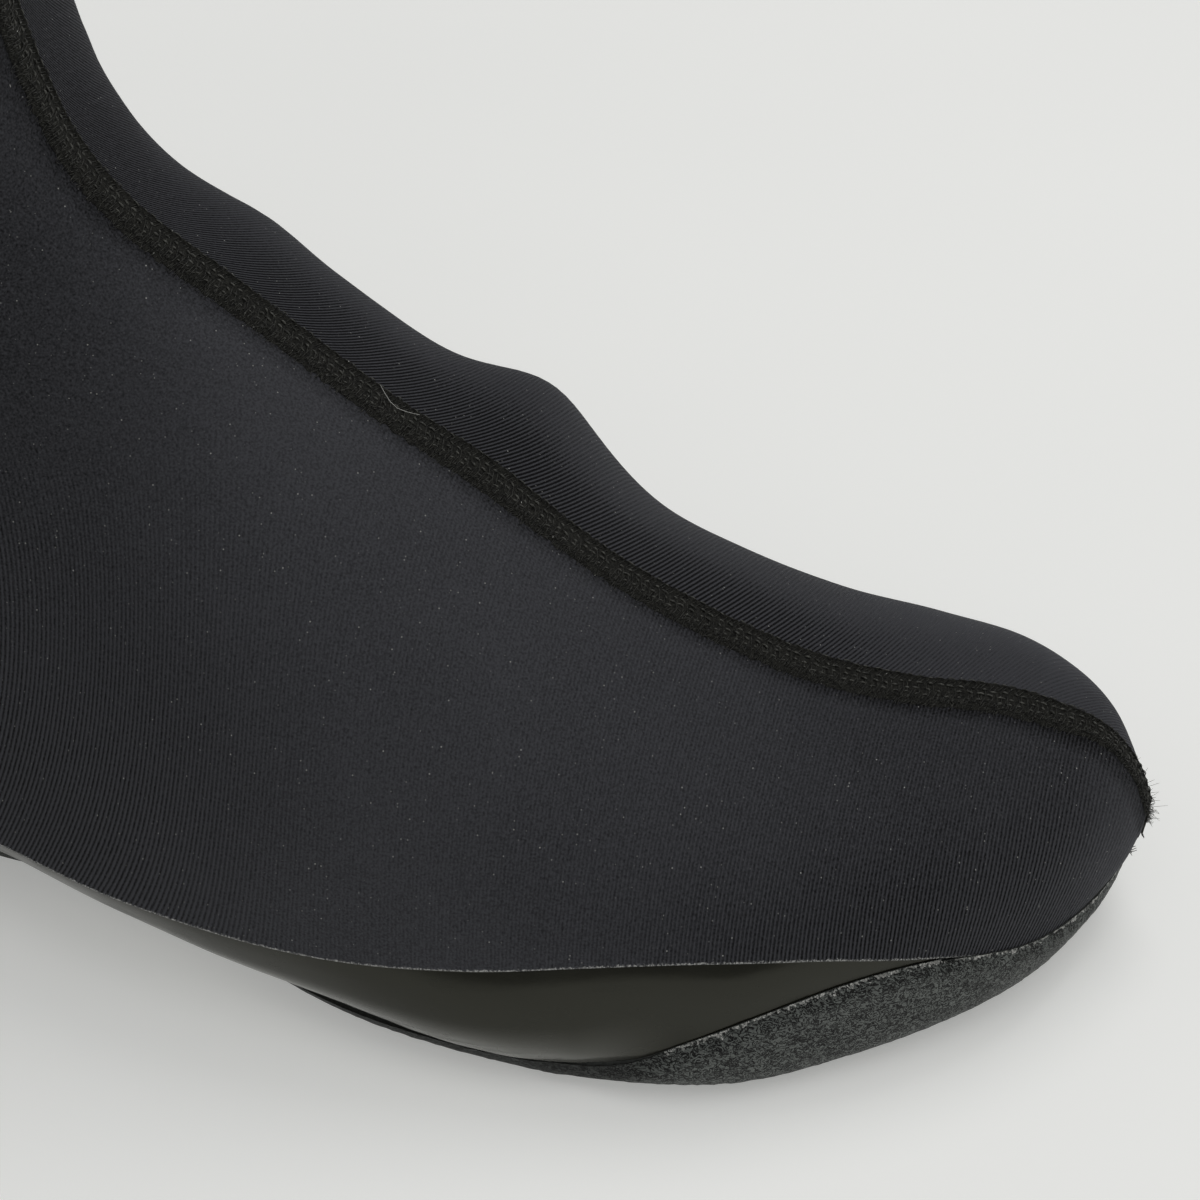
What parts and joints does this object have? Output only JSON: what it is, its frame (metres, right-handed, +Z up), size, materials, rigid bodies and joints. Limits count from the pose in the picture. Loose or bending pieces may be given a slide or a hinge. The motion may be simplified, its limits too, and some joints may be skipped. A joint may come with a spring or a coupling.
{
  "type": "overshoe",
  "caption": "Close-fitting neoprene overshoe for a right foot: hollow jersey-faced upper with a raised front seam, smooth lower panel and pebbled rubber outsole with a toe bumper.",
  "frame": {"origin": "middle of the overall box, on the floor the shoe stands on", "axes": "+X toward the toe, +Y toward the inner side of the foot, +Z up toward the collar"},
  "size_m": [0.2908, 0.1118, 0.2021],
  "materials": {
    "jersey": "black ribbed knit jersey laminated to foam rubber",
    "smooth_rubber": "smooth, slightly glossy skin",
    "pebbled_rubber": "matt pebbled grain",
    "seam_thread": "dense flat-lock stitching"
  },
  "bodies": {
    "root": {"upper": "jersey", "lower_panel": "smooth_rubber", "outsole": "pebbled_rubber", "front_seam": "seam_thread"}
  },
  "joints": []
}
